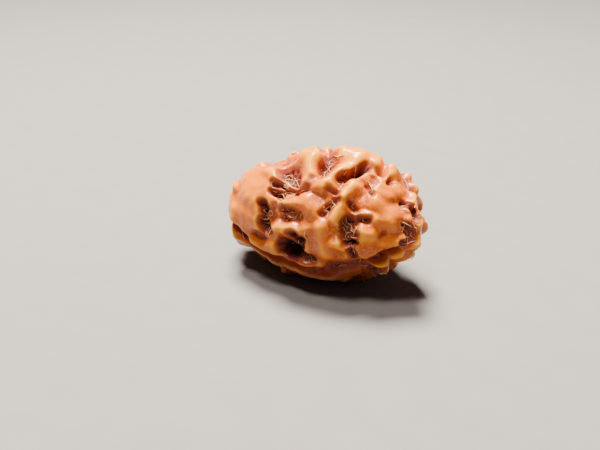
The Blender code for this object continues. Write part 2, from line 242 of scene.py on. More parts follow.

# %% [markdown]
# ## Pits in front
# Each pit is where a bundle of the fruit's fibres was anchored. Its floor often slides under the
# rim, so one side is steep and the other is hidden. That overhang makes the pit look dark.

# %% The pits in front
# Hollows in front: along, around, to along, to around, half-width, depth, and the way that
# the floor slides under the rim (along, around), where 1 is a full undercut
FRONT_HOLLOWS = (
    # upper left pit, its right part and the two grooves and the crack below it
    (-1.7, 30, -1.2, 34, 0.95, 1.05, (-0.2, -1)),
    (-0.4, 36, -0.1, 42, 0.5, 0.95, (0, -1)),
    (-2.4, 45, -1.4, 47, 0.36, 0.85, (0, -1)),
    (-2.4, 52, -1.3, 55, 0.36, 1, (0, -1)),
    (-1.2, 51, 0.3, 51, 0.26, 0.5, (0, -1)),
    (0.5, 49, 1.5, 46, 0.24, 0.4, (0, -1)),
    # small hollow beside the knob at the far end, and the notch on the upper left edge
    (-8.9, 50, -8.4, 51, 0.34, 0.5, (0, -1)),
    (-5, 2, -3.8, 6, 0.65, 0.4, (0, 0)),
    # slot on the left with two deep holes, and the dimple below it
    (-3.1, 66, -2.9, 71, 0.52, 1.15, (-1, -0.6)),
    (-3, 80, -2.7, 88, 0.52, 1.3, (-0.8, -0.4)),
    (-2.9, 72, -2.9, 79, 0.45, 0.75, (-0.6, -0.4)),
    (-1.9, 68, -1.8, 80, 0.55, 0.25, (0, 0)),
    (-4.4, 96, -3.5, 98, 0.6, 0.32, (0, 0)),
    # ring-shaped pit
    (-0.6, 66, 0.2, 67, 0.52, 0.55, (-0.4, -1)),
    (-0.4, 74, 1, 73, 0.5, 0.45, (0, -0.6)),
    # the largest pit, its upper lobe and its tail
    (-0.6, 102, 0.2, 106, 0.95, 1.75, (-0.3, -1)),
    (0.6, 95, 0.9, 98, 0.5, 1.1, (0, -0.6)),
    (0.7, 88, 1.1, 91, 0.62, 1.4, (0, -1)),
    (1, 107, 2.1, 112, 0.42, 0.9, (0, -0.6)),
    (2.6, 81, 2.9, 83, 0.5, 0.2, (0, 0)),
    # slanting pit near the middle of the top
    (1.8, -15, 1.6, -7, 0.5, 0.6, (-0.6, -0.6)),
    (2.1, 7, 2.2, 16, 0.6, 0.65, (-0.4, -0.6)),
    (2.2, 19, 2.3, 26, 0.5, 0.7, (-0.6, -0.6)),
    (1.5, 39, 1.5, 44, 0.6, 0.3, (0, 0)),
    # dark slot under the bright ridge
    (4.3, 30, 5, 23, 0.4, 0.8, (-0.4, -1)),
    (5.2, 17, 5.8, 8, 0.48, 1.25, (-0.8, -0.8)),
    # small pits in the middle
    (3.6, 43, 4.5, 45, 0.4, 0.4, (0, -1)),
    (4.6, 51, 4.1, 57, 0.42, 0.5, (0, -0.4)),
    (3.9, 59, 3.4, 66, 0.45, 0.6, (-0.6, -0.4)),
    (5.9, 51, 6.4, 56, 0.45, 0.45, (0, -0.6)),
    # dimples, crack and small round hole on the right
    (6.8, 16, 7, 19, 0.42, 0.35, (0, 0)),
    (6.6, 4, 6.8, 6, 0.42, 0.28, (0, 0)),
    (6.7, 27, 7.3, 36, 0.32, 0.55, (0, -0.6)),
    (8, 5, 8.1, 9, 0.32, 0.6, (0, -0.4)),
    (8.7, 85, 8.8, 87, 0.38, 0.22, (0, 0)),
    # large fibrous pit on the right, with its holes, its right arm and its tail
    (5.7, 70, 5.8, 87, 0.65, 0.65, (-0.8, -0.4)),
    (6.2, 70, 6.3, 84, 0.65, 0.6, (0, -0.6)),
    (6.7, 66, 7.4, 66, 0.42, 0.6, (0, -1)),
    (5.8, 67, 5.8, 69, 0.4, 0.85, (-0.5, -0.5)),
    (6.2, 78, 6.2, 81, 0.36, 0.9, (0, -0.5)),
    (5.6, 93, 6.5, 93, 0.36, 1, (0, -0.5)),
    (6, 101, 6.2, 114, 0.36, 0.8, (0, 0)),
    # hollow underside between the faces
    (3.9, 128, 6.3, 128, 1.15, 0.7, (0, -0.5)),
    # rough pit beside the pole, the small pit under it and the groove above it
    (10.2, 66, 10.3, 86, 0.58, 0.65, (-0.4, -0.4)),
    (9.8, 100, 9.8, 104, 0.4, 0.75, (0, -0.4)),
    (9.7, 24, 10.5, 22, 0.38, 0.8, (-0.6, 0)),
)
print(len(FRONT_HOLLOWS), "pits were placed by eye")

# %% [markdown]
# ## Ridges in front
# The ridges are rounded and merge into each other like melted wax. The lobe at the far end is the
# broadest and smoothest of them.

# %% The ridges in front
# Ridges, lobes and knobs in front: along, around, to along, to around, half-width, height
FRONT_RIDGES = (
    # the smooth lobe at the far end, its knob, and the rim behind the lower seam
    (-6, 47, -4.2, 57, 2.7, 0.66),
    (-7, 28, -4.6, 28, 1.8, 0.45),
    (-7, 77, -4.3, 83, 2.0, 0.55),
    (-8, 46, -7.8, 49, 0.9, 0.74),
    (-8.3, 61, -7.6, 83, 1.5, 0.62),
    (-3.6, 33, -2.2, 39, 1.1, 0.66),
    (-7.4, 114, -5.2, 127, 1.8, 0.85),
    (-6.4, 124, -2.2, 127, 1.2, 0.6),
    (-0.7, 128, 2.9, 139, 1.1, 0.6),
    (-4.7, 104, -2.1, 106, 0.95, 0.5),
    (-10.4, 60, -10.5, 100, 0.8, 0.4),
    (-10.2, 20, -10, 34, 0.8, 0.4),
    (-10, 112, -9.8, 126, 0.8, 0.45),
    # along the top, from left to right
    (-3.1, -1, -2.2, -1, 0.85, 0.55),
    (-0.3, 12, 0.7, 16, 1.5, 1.05),
    (0.6, 15, 1.3, 39, 0.95, 0.68),
    (0.5, -12, 0.7, -6, 0.7, 0.5),
    (3.2, 1, 4.7, -1, 1.5, 1.0),
    (4.4, 10, 3.9, 26, 1.1, 0.72),
    (4, 23, 3.3, 39, 0.9, 0.7),
    (5.7, -8, 6.1, 2, 1.0, 0.78),
    (6.1, 3, 6.3, 15, 0.9, 0.5),
    (7.4, -7, 7.7, -3, 1.0, 0.75),
    (7.6, -40, 7.9, -38, 0.9, 0.8),
    (8.8, -44, 9, -40, 0.85, 0.6),
    # across the middle
    (2.1, 41, 3.8, 41, 0.75, 0.6),
    (-0.7, 62, 1.2, 60, 0.8, 0.42),
    (1.7, 57, 2.7, 66, 1.2, 0.45),
    (-1.2, 84, 1, 84, 0.9, 0.66),
    (1.9, 79, 3.2, 82, 0.75, 0.5),
    (3.4, 79, 3.7, 104, 1.1, 0.55),
    (5.6, 33, 5.1, 47, 0.95, 0.7),
    (5.2, 48, 4.6, 70, 0.85, 0.5),
    (0, 73, 0.2, 73, 0.36, 0.5),
    (4.7, 93, 5.6, 96, 0.9, 0.66),
    (-0.3, 111, 2.7, 116, 0.8, 0.52),
    # on the right
    (6.7, 63, 7.9, 64, 0.75, 0.55),
    (6.9, 82, 7.8, 84, 1.25, 0.74),
    (7.3, 16, 8.8, 8, 1.2, 0.55),
    (7.5, 30, 8.5, 28, 1.0, 0.5),
    (7.9, 46, 9.1, 54, 1.3, 0.58),
    (8.2, 66, 9, 68, 1.2, 0.52),
    (8.8, 94, 9.3, 98, 0.9, 0.55),
    (9.7, -6, 10, 22, 0.8, 0.62),
    (10.5, 14, 10.6, 34, 0.9, 0.45),
    (9.7, 99, 10.1, 107, 0.8, 0.6),
    (10.3, 57, 10.4, 117, 0.6, 0.5),
    (8.1, 130, 8.3, 133, 0.75, 0.65),
    (7.1, 149, 7.5, 152, 0.85, 1.35),
    (9.3, 133, 9.4, 135, 0.8, 0.5),
)

# The pads underneath that the stone rests on, later cut flat: one right under its weight and three
# round it, and how far from them the skin stays even
REST_PADS = (
    (-1.3, 180, 0.2, 180, 1.5, 0.55),
    (-3.2, 162, -2.6, 160, 1.3, 0.95),
    (-3.2, 198, -2.6, 200, 1.3, 0.95),
    (3.0, 178, 3.7, 181, 1.5, 1.3),
)
EVEN_SKIN = (0.9, 2.2)

# Broad trims of the spheroid, where the stone is fuller or leaner than one
BROAD_FORMS = (
    (-6.4, -10, -3.6, 4, 3.8, -0.9),
    (8.0, -34, 9.0, -30, 3.4, 0.15),
    (3.0, -4, 5.6, -11, 2.4, 0.4),
    (7.1, -13, 7.7, -17, 1.8, 0.5),
    (-4.6, -22, -3.0, -18, 2.2, -0.1),
    (-7.0, 112, -5.5, 124, 3.4, 0.2),
    (-5.7, 128, -4.7, 134, 2.3, -1.0),
    (0.7, 146, 1.6, 149, 1.6, -0.75),
    (4.8, 156, 4.9, 166, 1.5, 0.4),
    (10.4, 60, 10.4, 120, 2.8, 0.55),
    (10.4, 116, 10.6, 126, 1.6, 0.4),
)
print(len(FRONT_RIDGES), "ridges were placed by eye")

# %% [markdown]
# ## Places and distances
# A stroke is a straight line between two places of the spheroid. The relief at a point depends on
# how far it is from each stroke, so a few small distance functions are all that is needed. Noise
# bends the strokes a little, because nothing on a stone is straight. Blender's own vector noise
# differs from session to session, so three plain noises, each shifted, take its place.

# %% Places, distances and noise
def skin_point(along, around):
    """The spheroid's point at one place, in the stone's own frame."""
    turn = math.radians(around)
    reach = HALF_WIDTH * math.sqrt(max(0.0, 1 - (along / HALF_LENGTH) ** 2))
    return np.array((along, -reach * math.sin(turn), reach * math.cos(turn)))


def smooth_step(low, high, values):
    """0 below low, 1 above high, and an even rise between them."""
    part = np.clip((values - low) / (high - low), 0.0, 1.0)
    return part * part * (3 - 2 * part)


def stroke_distance(points, start, end):
    """Distance of each point to the straight stroke from start to end."""
    run = end - start
    length_squared = max(run @ run, 1e-9)
    part = np.clip((points - start) @ run / length_squared, 0.0, 1.0)
    return np.linalg.norm(points - start - part[:, None] * run, axis=1)


def stroke_gap(points, stroke):
    """Distance of each point to a stroke, whose first four numbers are its two places."""
    return stroke_distance(points, skin_point(*stroke[:2]), skin_point(*stroke[2:4]))


def path_distance(points, places):
    """Distance of each point to a path through the places given."""
    marks = [skin_point(along, around) for along, around in places]
    nearest = np.full(len(points), np.inf)
    for start, end in zip(marks, marks[1:]):
        nearest = np.minimum(nearest, stroke_distance(points, start, end))
    return nearest


def noise_values(points, size, shift=0.0):
    """Smooth noise with waves about as long as size."""
    offset = Vector((shift, 2 * shift, -shift))
    return np.array([noise.noise(Vector(point) / size + offset) for point in points])


def noise_vectors(points, size):
    """Smooth noise as vectors, used to bend straight strokes."""
    return np.stack([noise_values(points, size, shift) for shift in BEND_SHIFTS], axis=1)


pole = skin_point(HALF_LENGTH, 0)
print("the raised pole is", round(float(pole[0]), 2), "mm from the middle")

# %% [markdown]
# ## The skin that the photograph doesn't show
# The back, the underside and the far end follow the same pattern by a rule: pits are drawn at
# random places that keep apart from each other and from the seams, and ridges are drawn between
# them. The seed of the random draw is fixed, so the stone is the same each time.

# %% Draw the hidden pits and ridges
# Rule for the skin that was not listed one by one: the back, the underside and the far end
SCATTER_SEED = 11
DRAWN_ALONG = (-10.75, 10.75)
DRAWN_TOP_EDGE = ((-1, -10), (2, -34))
DRAWN_LOWER_EDGE = 118
SCATTER_TRIES = 1400
HOLLOW_SPACING = 2.5
RIDGE_SPACING = 1.75
SEAM_CLEARANCE = 1.25
REST_CLEARANCE = 3.1
REST_PLACE = (0.1, 180)
RIM_GAP = 0.9


def in_drawn_skin(along, around):
    """Whether a place lies where the hollows were listed one by one."""
    turned = (around + 180) % 360 - 180
    top_edge = np.interp(along, *zip(*DRAWN_TOP_EDGE))
    return DRAWN_ALONG[0] < along < DRAWN_ALONG[1] and top_edge < turned < DRAWN_LOWER_EDGE


def random_place(draw):
    """A place drawn evenly over the spheroid's skin."""
    height = draw.uniform(-1, 1)
    return height * HALF_LENGTH * 0.985, draw.uniform(-180, 180)


def spread_places(draw, spacing, others, clearance):
    """Places off the drawn skin, apart from each other, the seams, the rest spot and others."""
    chosen = []
    taken = []
    for _ in range(SCATTER_TRIES):
        along, around = random_place(draw)
        if in_drawn_skin(along, around):
            continue
        point = skin_point(along, around)
        spot = point[None, :]
        seam_gap = min(path_distance(spot, LOWER_SEAM)[0], path_distance(spot, UPPER_SEAM)[0])
        rest_gap = np.linalg.norm(point - skin_point(*REST_PLACE))
        if seam_gap < SEAM_CLEARANCE or rest_gap < REST_CLEARANCE:
            continue
        if any(np.linalg.norm(point - mark) < spacing for mark in taken):
            continue
        if any(np.linalg.norm(point - mark) < clearance for mark in others):
            continue
        taken.append(point)
        chosen.append((along, around))
    return chosen


def stroke_end(draw, along, around, longest):
    """The far end of a short stroke that leaves a place in a drawn direction."""
    heading = draw.uniform(0, math.tau)
    length = draw.uniform(0.1, longest)
    reach = max(1.5, HALF_WIDTH * math.sqrt(max(0.05, 1 - (along / HALF_LENGTH) ** 2)))
    to_along = max(-HALF_LENGTH * 0.99, min(HALF_LENGTH * 0.99, along + length * math.cos(heading)))
    return to_along, around + math.degrees(length * math.sin(heading) / reach)


def scattered_relief():
    """Hollows and ridges for the skin that was not listed one by one."""
    draw = random.Random(SCATTER_SEED)
    drawn = [skin_point(mark[0], mark[1]) for mark in FRONT_HOLLOWS]
    hollows = []
    for along, around in spread_places(draw, HOLLOW_SPACING, drawn, HOLLOW_SPACING):
        half_width = draw.uniform(0.42, 0.75)
        depth = draw.uniform(0.6, 1.15) * min(1.0, half_width / 0.6)
        slide = (draw.uniform(-0.7, 0.7), draw.uniform(-0.7, 0.7))
        for longest in (2.2, 1.3):
            to_along, to_around = stroke_end(draw, along, around, longest)
            hollows.append((along, around, to_along, to_around, half_width, depth, slide))
    pits = drawn + [skin_point(mark[0], mark[1]) for mark in hollows]
    ridges = []
    for along, around in spread_places(draw, RIDGE_SPACING, pits, RIM_GAP + 0.5):
        to_along, to_around = stroke_end(draw, along, around, 2.4)
        half_width, height = draw.uniform(0.8, 1.25), draw.uniform(0.5, 0.85)
        ridges.append((along, around, to_along, to_around, half_width, height))
    return hollows, ridges


more_hollows, more_ridges = scattered_relief()
print(len(more_hollows), "strokes of hidden pits and", len(more_ridges), "hidden ridges")

# %% [markdown]
# ## From strokes to relief
# Ridges add up softly, so neighbours melt together. Pits take the deepest value, so their rims
# stay clear. Last, every point moves out or in along the skin's normal, and sideways in the pits.

# %% Turn the strokes into relief
def skin_frame(points):
    """Outward normal and the two directions on the skin, along and around, at each point."""
    normal = points / np.array((HALF_LENGTH ** 2, HALF_WIDTH ** 2, HALF_WIDTH ** 2))
    normal /= np.linalg.norm(normal, axis=1)[:, None]
    around = np.cross(normal, np.array((1.0, 0.0, 0.0)))
    around /= np.maximum(np.linalg.norm(around, axis=1), 1e-6)[:, None]
    along = np.cross(around, normal)
    return normal, along, around


def ridge_height(points, ridges):
    """Height of the rounded ridges, each melting into its neighbours."""
    total = np.zeros(len(points))
    for ridge in ridges:
        half_width, height = ridge[4:]
        gap = stroke_gap(points, ridge) / half_width
        total += (height * (1 - smooth_step(0.1, 1.3, gap))) ** 2.5
    return total ** (1 / 2.5)


def hollow_depth(points, hollows):
    """Depth of the hollows and the way in which their floors slide under the rims."""
    total = np.zeros(len(points))
    slide = np.zeros((len(points), 2))
    for hollow in hollows:
        half_width, depth, way = hollow[4:]
        gap = stroke_gap(points, hollow) / half_width
        deep = depth * (1 - smooth_step(0.1, 1.4, gap))
        total += deep ** 4
        slide += deep[:, None] ** 2 * np.array(way)
    total **= 0.25
    return total, slide / np.maximum(total, 1e-6)[:, None] ** 2


def relief(points):
    """The spheroid's points moved to the stone's skin, and how far each is raised and sunk."""
    hollows = list(FRONT_HOLLOWS) + more_hollows
    ridges = list(FRONT_RIDGES) + more_ridges + list(REST_PADS)
    bent = points + WARP_REACH * noise_vectors(points, WARP_SIZE)
    crinkled = bent + CRINKLE_REACH * noise_vectors(points, CRINKLE_SIZE)
    normal, along, around = skin_frame(points)

    height = SWELL_HEIGHT * noise_values(points, SWELL_SIZE, 3.1)
    height += RIPPLE_HEIGHT * noise_values(points, RIPPLE_SIZE, 7.7)
    for pad in REST_PADS:
        height *= smooth_step(*EVEN_SKIN, stroke_gap(points, pad))
    raised = ridge_height(bent, ridges)
    height += VALLEY_FLOOR + raised
    for form in BROAD_FORMS:
        reach, rise = form[4:]
        height += rise * (1 - smooth_step(0.0, 1.0, stroke_gap(points, form) / reach))

    depth, slide = hollow_depth(crinkled, hollows)
    seam_depth = SEAM_DEPTH * (1 + SEAM_UNEVENNESS * noise_values(points, SWELL_SIZE, 5.9))
    for seam in (LOWER_SEAM, UPPER_SEAM):
        gap = path_distance(bent, seam) / SEAM_HALF_WIDTH
        depth = np.maximum(depth, seam_depth * (1 - smooth_step(0.2, 1.3, gap)))
        height += SEAM_LIP * smooth_step(0.6, 1.6, gap) * (1 - smooth_step(1.6, 3.4, gap))
    floor = smooth_step(0.15, 0.7, depth)
    depth += floor * PIT_GRAIN_HEIGHT * noise_values(points, PIT_GRAIN_SIZE, 1.3)

    moved = points + normal * (height - depth)[:, None]
    moved += UNDERCUT * depth[:, None] * (along * slide[:, :1] + around * slide[:, 1:])
    return moved, raised, depth


def pitched(points):
    """The stone's own frame turned to the world: the +X pole is a little raised."""
    turn = math.radians(PITCH)
    turned = points.copy()
    turned[:, 0] = points[:, 0] * math.cos(turn) - points[:, 2] * math.sin(turn)
    turned[:, 2] = points[:, 0] * math.sin(turn) + points[:, 2] * math.cos(turn)
    return turned


print("ridges and pits are ready")

# %% [markdown]
# ## The fine skin
# A sphere made from a cube has even squares and no pinched poles, which suits sculpting. The cube
# is cut into 128 squares a side, its points are spread evenly over a ball, and the relief is
# pressed in. A few rounds of smoothing then melt the edges, as oil and wear do on the real stone.

# %% Press the relief into a ball
SQUARES = 128
MELTING_ROUNDS = 8

bpy.ops.object.select_all(action="DESELECT")
bpy.ops.mesh.primitive_cube_add(size=2, location=(0, 0, 0))
stone = bpy.context.object
stone.name = "rudraksha_stone_skin"
bpy.ops.object.mode_set(mode="EDIT")
bpy.ops.mesh.select_all(action="SELECT")
bpy.ops.mesh.subdivide(number_cuts=7)
bpy.ops.mesh.subdivide(number_cuts=SQUARES // 8 - 1)
bpy.ops.object.mode_set(mode="OBJECT")


def vertex_array(mesh, field="co"):
    """The vertices' places, or their normals, as one array."""
    values = np.empty(len(mesh.vertices) * 3, dtype=np.float32)
    source = mesh.vertices if field == "co" else mesh.vertex_normals
    source.foreach_get("co" if field == "co" else "vector", values)
    return values.reshape(-1, 3).astype(np.float64)


def move_vertices(mesh, places):
    """Moves every vertex to its new place."""
    mesh.vertices.foreach_set("co", np.ascontiguousarray(places, dtype=np.float32).ravel())
    mesh.update()


cube = vertex_array(stone.data)
ball = np.tan(cube * math.pi / 4)
ball /= np.linalg.norm(ball, axis=1)[:, None]
spheroid = ball * np.array((HALF_LENGTH, HALF_WIDTH, HALF_WIDTH))
skin, raised, sunk = relief(spheroid)
move_vertices(stone.data, pitched(skin) * MM)

soften = stone.modifiers.new("melt the edges", "SMOOTH")
soften.iterations = MELTING_ROUNDS
bpy.ops.object.modifier_apply(modifier=soften.name)
print("the skin has", len(stone.data.vertices), "points")

# %% [markdown]
# ## Rounder lumps
# Melting has also taken some height from the ridges. Here a heavily smoothed copy of the skin shows
# where the stone bulges, and the ridges are pushed out by a share of that bulge. An inflate brush
# does the same by hand. The pits are spared, because they are deep enough.

# %% Puff up the ridges
BULGE_ROUNDS = 24
FULLNESS = 0.12


def neighbour_mean(mesh, values):
    """The mean of the values at each point's neighbours."""
    ends = np.empty(len(mesh.edges) * 2, dtype=np.int32)
    mesh.edges.foreach_get("vertices", ends)
    ends = ends.reshape(-1, 2)
    total = np.zeros((len(mesh.vertices), values.shape[1]))
    count = np.zeros(len(mesh.vertices))
    for a, b in ((0, 1), (1, 0)):
        np.add.at(total, ends[:, a], values[ends[:, b]])
        np.add.at(count, ends[:, a], 1)
    return total / count[:, None]


def bulge_of(mesh, points, normals):
    """How far each point stands out from the smoothed skin, along its normal."""
    melted = points
    for _ in range(BULGE_ROUNDS):
        melted = neighbour_mean(mesh, melted)
    return np.einsum("ij,ij->i", points - melted, normals)


fine = vertex_array(stone.data) / MM
normals = vertex_array(stone.data, "normal")
in_pits = smooth_step(0.22, 0.6, sunk)
puff = FULLNESS * bulge_of(stone.data, fine, normals) * (1 - in_pits)
fine += normals * puff[:, None]
move_vertices(stone.data, fine * MM)
print("the ridges rose by up to", round(float(puff.max()), 2), "mm")

# %% [markdown]
# ## Wax and grain
# Close up, the ridges are not quite smooth: they have soft dents a fraction of a millimetre wide,
# like candle wax. The pits are rough, with scraps of dried pulp stuck to their floors. Both are
# made by moving the points along their normals by noise of several sizes.

# %% Roughen the skin
# The noise's size and height, in millimetres
WAX_DENTS = ((1.3, 0.06), (0.75, 0.035), (0.4, 0.015))
PIT_SCRAPS = ((0.5, 0.13), (0.26, 0.09))


def scraps(points, size, shift):
    """Noise with sharp creases, for torn and crumbled matter."""
    return 0.5 - 2 * np.abs(noise_values(points, size, shift))


normals = vertex_array(stone.data, "normal")
dents = sum(height * noise_values(fine, size, 2.2) for size, height in WAX_DENTS)
torn = sum(height * scraps(fine, size, 6.4) for size, height in PIT_SCRAPS)
fine += normals * (dents * (1 - 0.5 * in_pits) + torn * in_pits)[:, None]
move_vertices(stone.data, fine * MM)
print("the pits cover", round(float(np.mean(in_pits > 0.5)) * 100), "% of the skin")

# %% [markdown]
# ## Colour marks
# The colour of each spot follows from its form: the ground between the ridges is pinkish, the
# ridges are more orange, and the pits are purple brown with a reddish stain round them. Where the
# skin bulges out it is painted paler, a painted highlight; where it curves in it is painted a
# darker orange brown, a painted shade; and the deepest pit floors are painted nearly black as
# painted shade.
# These forms are kept as numbers on the points: raised, sunk, how near a pit is, and how strongly
# the skin bulges out there.

# %% Keep the form as numbers on the points
STAIN_ROUNDS = 12


def keep(mesh, name, values):
    """Stores one number a point under a name."""
    field = mesh.attributes.new(name, "FLOAT", "POINT")
    field.data.foreach_set("value", np.ascontiguousarray(values, dtype=np.float32))


bulge = bulge_of(stone.data, fine, normals)
keep(stone.data, "raised", raised)
keep(stone.data, "sunk", sunk)
keep(stone.data, "bulge", bulge)
stain = sunk[:, None]
for _ in range(STAIN_ROUNDS):
    stain = neighbour_mean(stone.data, stain)
keep(stone.data, "stain", stain[:, 0])
print("the skin bulges by", np.percentile(bulge, (5, 50, 95)).round(3).tolist(), "mm")

# %% [markdown]
# ## The flat spots
# The stone lies on small worn places. They are cut at one level, like the solid's, and then the
# stone is lifted so that they touch the floor.

# %% Cut the flat spots
cut = bmesh.new()
cut.from_mesh(stone.data)
bmesh.ops.bisect_plane(
    cut, geom=cut.verts[:] + cut.edges[:] + cut.faces[:], dist=1e-6,
    plane_co=(0, 0, -REST_LEVEL * MM), plane_no=(0, 0, -1), clear_outer=True)
bmesh.ops.holes_fill(cut, edges=[edge for edge in cut.edges if edge.is_boundary], sides=0)
bmesh.ops.triangulate(cut, faces=[face for face in cut.faces if len(face.verts) > 4])
bmesh.ops.translate(cut, vec=stone_middle, verts=cut.verts[:])
bmesh.ops.recalc_face_normals(cut, faces=cut.faces[:])
cut.to_mesh(stone.data)
cut.free()
bpy.ops.object.select_all(action="DESELECT")
stone.select_set(True)
bpy.context.view_layer.objects.active = stone
bpy.ops.object.shade_smooth()
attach(stone, "root")
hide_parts("rudraksha_stone")
print("the stone has", len(stone.data.polygons), "faces")

# %% [markdown]
# ## Oiled endocarp
# Endocarp is the wood of a fruit stone. Polished with oil it looks like wax: light enters a little
# way and comes out redder, and the gloss is soft. The colour is mixed in steps by the numbers of
# each point, and noise keeps the steps from looking even. The low side is painted a darker brown
# towards the bottom: this is painted shade, standing in for the shade under the stone.

# %% Mix the stone's material
def mixed(tree, amount, first, second):
    """A colour between two others. Each is a socket or a hex colour."""
    colours = [linear(c) if isinstance(c, str) else c for c in (first, second)]
    node = add_node(
        tree, "ShaderNodeMix", {0: amount, 6: colours[0], 7: colours[1]}, data_type="RGBA")
    return node.outputs[2]


def stepped(tree, value, low, high, start=0.0, end=1.0):
    """A smooth rise of a number from start to end between low and high."""
    node = add_node(tree, "ShaderNodeMapRange", {
        "Value": value, "From Min": low, "From Max": high, "To Min": start, "To Max": end},
        interpolation_type="SMOOTHSTEP")
    return node.outputs["Result"]


def summed(tree, value, other, factor):
    """value + other * factor."""
    node = add_node(
        tree, "ShaderNodeMath", {0: other, 1: factor, 2: value}, operation="MULTIPLY_ADD")
    return node.outputs[0]


def mottled(tree, place, scale, detail):
    """Noise at a scale in parts a metre: 1000 is a millimetre."""
    node = add_node(tree, "ShaderNodeTexNoise", {"Vector": place, "Scale": scale, "Detail": detail})
    return node.outputs["Fac"]


def kept(tree, name):
    """The number that was kept on the points under a name."""
    return add_node(tree, "ShaderNodeAttribute", attribute_name=name).outputs["Fac"]


def oiled_endocarp():
    """Waxy wood: soft gloss, a little light bleeding through, colour by the skin's form."""
    material, tree = new_material("oiled_endocarp")
    place = add_node(tree, "ShaderNodeTexCoord").outputs["Object"]
    cloud = mottled(tree, place, 650.0, 3.0)
    speck = mottled(tree, place, 4200.0, 4.0)
    bulge_by = kept(tree, "bulge")

    # from the valley floors up to the ridges, then a painted highlight where the skin bulges out
    # and painted shade where it curves in
    uneven = summed(tree, kept(tree, "raised"), cloud, 0.35)
    floor = mixed(tree, stepped(tree, speck, 0.42, 0.6), "#D06A22", "#A84A1A")
    ground = mixed(tree, stepped(tree, uneven, 0.3, 0.7), floor, "#D06608")
    ridge = mixed(tree, stepped(tree, uneven, 0.6, 1.0), ground, "#E28208")
    # painted highlight: where the skin bulges out, the colour is painted a paler yellow
    painted_highlight_tone = mixed(tree, stepped(tree, bulge_by, 0.02, 0.24), ridge, "#F09E08")
    # painted shade: where the skin curves in, the colour is painted a darker orange brown
    painted_shade_tone = mixed(tree, stepped(tree, bulge_by, 0.01, -0.15, 0.0, 0.8), painted_highlight_tone, "#A8420C")
    # painted shade: the low side is painted a darker brown towards the bottom
    height = add_node(tree, "ShaderNodeSeparateXYZ", {0: place}).outputs["Z"]
    painted_shade_by = summed(tree, height, cloud, 3 * MM)
    # painted shade under the stone, mixed over the colours above
    under = mixed(tree, stepped(tree, painted_shade_by, 8 * MM, 3.5 * MM, 0.0, 0.85), painted_shade_tone, "#70361F")
    # from the stain round a pit down to its floor, with paler specks
    stain_by = summed(tree, kept(tree, "stain"), speck, 0.12)
    rim = mixed(tree, stepped(tree, stain_by, 0.07, 0.32, 0.0, 0.9), under, "#8E381E")
    sunk_uneven = summed(tree, kept(tree, "sunk"), speck, 0.3)
    pit = mixed(tree, stepped(tree, sunk_uneven, 0.32, 0.75), rim, "#743028")
    # painted shade: the deepest pit floors are painted nearly black
    deep = mixed(tree, stepped(tree, sunk_uneven, 0.8, 1.35), pit, "#341A1A")
    spotted = mixed(tree, stepped(tree, speck, 0.6, 0.72, 0.0, 0.15), deep, "#E0863C")

    gloss = stepped(tree, summed(tree, kept(tree, "sunk"), speck, 0.1), 0.15, 0.5, 0.24, 0.75)
    grain = mottled(tree, place, 7000.0, 4.0)
    bump = add_node(tree, "ShaderNodeBump", {
        "Height": grain, "Strength": 0.25, "Distance": 0.04 * MM})
    shader = add_node(tree, "ShaderNodeBsdfPrincipled", {
        "Base Color": spotted, "Roughness": gloss, "Normal": bump.outputs["Normal"],
        "Subsurface Weight": 0.2, "Subsurface Radius": (0.9, 0.35, 0.15),
        "Subsurface Scale": 0.5 * MM, "IOR": 1.45, "Specular IOR Level": 0.32})
    add_node(tree, "ShaderNodeOutputMaterial", {"Surface": shader.outputs["BSDF"]})
    return material


stone.data.materials.append(oiled_endocarp())
print("the stone wears", stone.data.materials[0].name)

# %% [markdown]
# ## Pulp fibres
# After washing, wisps of the fruit's fibres are left in the pits. They dry pale tan, curl, and
# bridge the hollows. Each one is a thin curve that wanders over the skin and lifts off it between
# its ends. Around every pit a few are drawn at random, and the curves become one mesh.

# %% Find places on the finished skin
NEAR_POINTS = 4

finder = KDTree(len(spheroid))
for index, point in enumerate(spheroid):
    finder.insert(point, index)
finder.balance()
settled = fine + np.array(STONE_CENTRE)


def skin_spot(along, around):
    """The finished skin over one place: the point in millimetres and its outward normal."""
    near = finder.find_n(Vector(skin_point(along, around)), NEAR_POINTS)
    spots = [index for _, index, _ in near]
    middle = np.mean([settled[i] for i in spots], axis=0)
    normal = np.mean([normals[i] for i in spots], axis=0)
    return middle, normal / max(np.linalg.norm(normal), 1e-6)


print("a spot on top is at", skin_spot(0, 0)[0].round(2).tolist())
